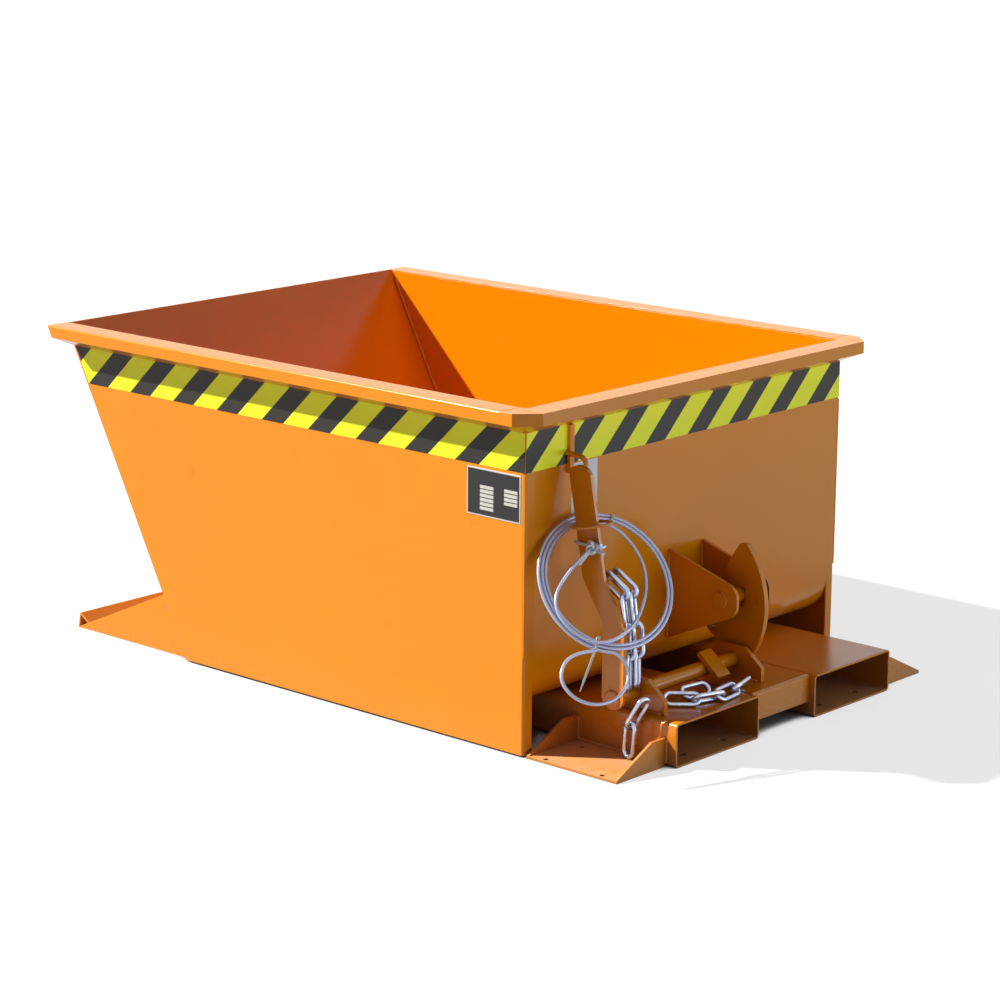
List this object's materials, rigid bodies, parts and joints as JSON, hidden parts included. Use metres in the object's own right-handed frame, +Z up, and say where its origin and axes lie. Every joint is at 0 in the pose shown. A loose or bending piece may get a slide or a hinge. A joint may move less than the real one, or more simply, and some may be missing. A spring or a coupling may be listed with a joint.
{
  "type": "tipping skip",
  "caption": "Orange sheet-steel fork-lift tipping skip with slanted front, fork pockets, rear hook latch with release lever, coiled rope and chain.",
  "frame": {"origin": "on the ground, under the middle of the whole object", "axes": "+Z up, +X to the rear where the latch and the fork mouths are, +Y to the far side"},
  "size_m": [1.575, 1.1148, 0.682],
  "materials": {
    "paint": "gloss",
    "galvanised": "satin",
    "sheath": "gloss",
    "nylon": "matte"
  },
  "bodies": {
    "base": {"fork_pocket_near": "paint", "fork_pocket_far": "paint", "rear_cross_channel": "paint", "front_cross_tube": "paint", "toe_plate_near": "paint", "toe_plate_far": "paint", "toe_bar": "paint", "castor_plate_rear_near": "paint", "castor_plate_rear_far": "paint", "castor_plate_front_near": "paint", "castor_plate_front_far": "paint", "shaft_bearing_near": "paint", "shaft_bearing_far": "paint", "hinge_pins": "paint", "chain_laid": "galvanised"},
    "bin": {"tub_sheet": "paint", "side_sheet_near": "paint", "side_sheet_far": "paint", "rim_near": "paint", "rim_rear": "paint", "rim_far": "paint", "hinge_lug_near": "paint", "hinge_lug_far": "paint", "latch_ear_near": "paint", "latch_ear_far": "paint", "latch_pin": "paint", "guide_strap": "paint"},
    "latch": {"latch_shaft": "paint", "latch_hook": "paint", "stop_bar": "paint", "lever_bar": "paint", "lever_peg": "paint", "lever_ring": "paint", "chain_peg": "paint", "chain_hung": "galvanised", "rope_hitch": "sheath", "rope_lead": "sheath", "rope_coil": "sheath", "rope_loop": "sheath", "cable_ties": "nylon"}
  },
  "joints": [
    {"name": "bin_tip", "type": "hinge", "parent": "base", "child": "bin", "pos_m": [-0.49625, 0, 0.1], "axis": [0, -1, 0], "range_deg": [0, 72]},
    {"name": "latch_release", "type": "hinge", "parent": "base", "child": "latch", "pos_m": [0.6635, 0, 0.122], "axis": [0, 1, 0], "range_deg": [0, 24], "stiffness_Nm_per_rad": 20, "springref_deg": -34.38}
  ]
}
